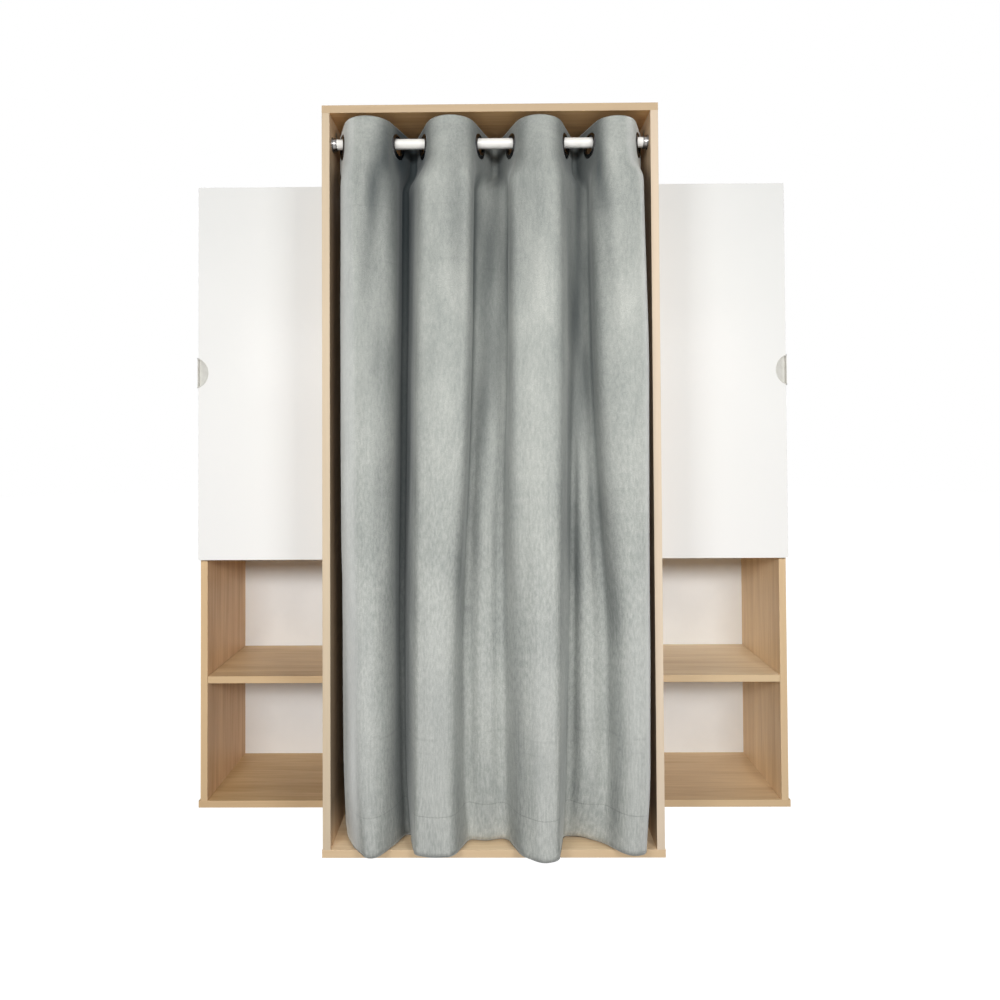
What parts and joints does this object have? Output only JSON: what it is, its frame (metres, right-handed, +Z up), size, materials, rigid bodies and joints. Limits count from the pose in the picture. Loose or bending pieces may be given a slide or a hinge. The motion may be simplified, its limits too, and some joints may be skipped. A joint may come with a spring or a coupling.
{
  "type": "wardrobe",
  "caption": "Tall open-fronted wardrobe with a grommet curtain on a rod, between lower side cabinets with gloss doors above open niches",
  "frame": {"origin": "on the floor, under the middle of the tall cabinet", "axes": "+X to the right of someone facing the wardrobe, +Y to its back, +Z up"},
  "size_m": [1.614, 0.5654, 1.82],
  "materials": {
    "oak_board": "light oak decor board, satin",
    "back_panel": "thin pale panel, matt",
    "white_profile": "white extruded strip",
    "white_gloss_board": "white high-gloss faced board",
    "grey_pull": "light grey moulding, satin",
    "hinge_steel": "nickel-plated pressed steel",
    "white_tube": "white powder coat",
    "chrome_tube": "polished",
    "chrome_socket": "polished",
    "curtain_cloth": "grey crushed pile, soft sheen",
    "chrome_eyelet": "satin plated rings",
    "fixing_steel": "zinc-plated",
    "dowel_wood": "plain beech"
  },
  "bodies": {
    "cabinet": {"tall_base": "oak_board", "tall_top": "oak_board", "tall_left_wall": "oak_board", "tall_right_wall": "oak_board", "left_base": "oak_board", "left_top": "oak_board", "left_outer_wall": "oak_board", "left_fixed_shelf": "oak_board", "left_niche_shelf": "oak_board", "left_lower_cupboard_shelf": "oak_board", "left_upper_cupboard_shelf": "oak_board", "right_base": "oak_board", "right_top": "oak_board", "right_outer_wall": "oak_board", "right_fixed_shelf": "oak_board", "right_niche_shelf": "oak_board", "right_lower_cupboard_shelf": "oak_board", "right_upper_cupboard_shelf": "oak_board", "tall_back_left": "back_panel", "tall_back_right": "back_panel", "left_back": "back_panel", "right_back": "back_panel", "tall_back_strip": "white_profile", "left_hinge_arms": "hinge_steel", "right_hinge_arms": "hinge_steel", "curtain_rod": "white_tube", "hanging_rail": "chrome_tube", "curtain_rod_left_socket": "chrome_socket", "curtain_rod_right_socket": "chrome_socket", "hanging_rail_left_socket": "chrome_socket", "hanging_rail_right_socket": "chrome_socket", "curtain": "curtain_cloth", "eyelet_8": "chrome_eyelet", "cam_locks": "fixing_steel", "cam_bolts": "fixing_steel", "base_screws": "fixing_steel", "back_nails": "fixing_steel", "hinge_screws": "fixing_steel", "socket_screws": "fixing_steel", "shelf_pins": "fixing_steel", "dowels": "dowel_wood"},
    "left_leaf": {"left_door": "white_gloss_board", "left_pull": "grey_pull", "left_hinge_cups": "hinge_steel"},
    "right_leaf": {"right_door": "white_gloss_board", "right_pull": "grey_pull", "right_hinge_cups": "hinge_steel"},
    "ring_1": {"eyelet_1": "chrome_eyelet"},
    "ring_2": {"eyelet_2": "chrome_eyelet"},
    "ring_3": {"eyelet_3": "chrome_eyelet"},
    "ring_4": {"eyelet_4": "chrome_eyelet"},
    "ring_5": {"eyelet_5": "chrome_eyelet"},
    "ring_6": {"eyelet_6": "chrome_eyelet"},
    "ring_7": {"eyelet_7": "chrome_eyelet"}
  },
  "joints": [
    {"name": "left_door_hinge", "type": "hinge", "parent": "cabinet", "child": "left_leaf", "pos_m": [-0.415, -0.0438, 1.1885], "axis": [0, 0, 1], "range_deg": [0, 90]},
    {"name": "right_door_hinge", "type": "hinge", "parent": "cabinet", "child": "right_leaf", "pos_m": [0.415, -0.0438, 1.1885], "axis": [0, 0, -1], "range_deg": [0, 90]},
    {"name": "curtain_draw", "type": "slide", "parent": "cabinet", "child": "ring_1", "axis": [1, 0, 0], "range_m": [0, 0.365], "deforming": ["curtain"]},
    {"name": "ring_2_slide", "type": "slide", "parent": "cabinet", "child": "ring_2", "axis": [1, 0, 0], "range_m": [0, 0.2974]},
    {"name": "ring_3_slide", "type": "slide", "parent": "cabinet", "child": "ring_3", "axis": [1, 0, 0], "range_m": [0, 0.2648]},
    {"name": "ring_4_slide", "type": "slide", "parent": "cabinet", "child": "ring_4", "axis": [1, 0, 0], "range_m": [0, 0.1959]},
    {"name": "ring_5_slide", "type": "slide", "parent": "cabinet", "child": "ring_5", "axis": [1, 0, 0], "range_m": [0, 0.1564]},
    {"name": "ring_6_slide", "type": "slide", "parent": "cabinet", "child": "ring_6", "axis": [1, 0, 0], "range_m": [0, 0.0897]},
    {"name": "ring_7_slide", "type": "slide", "parent": "cabinet", "child": "ring_7", "axis": [1, 0, 0], "range_m": [0, 0.0587]}
  ],
  "couplings": [
    {"joint": "ring_2_slide", "follows": "curtain_draw", "ratio": 0.81444},
    {"joint": "ring_3_slide", "follows": "curtain_draw", "ratio": 0.72513},
    {"joint": "ring_4_slide", "follows": "curtain_draw", "ratio": 0.53636},
    {"joint": "ring_5_slide", "follows": "curtain_draw", "ratio": 0.42834},
    {"joint": "ring_6_slide", "follows": "curtain_draw", "ratio": 0.24546},
    {"joint": "ring_7_slide", "follows": "curtain_draw", "ratio": 0.16043}
  ]
}
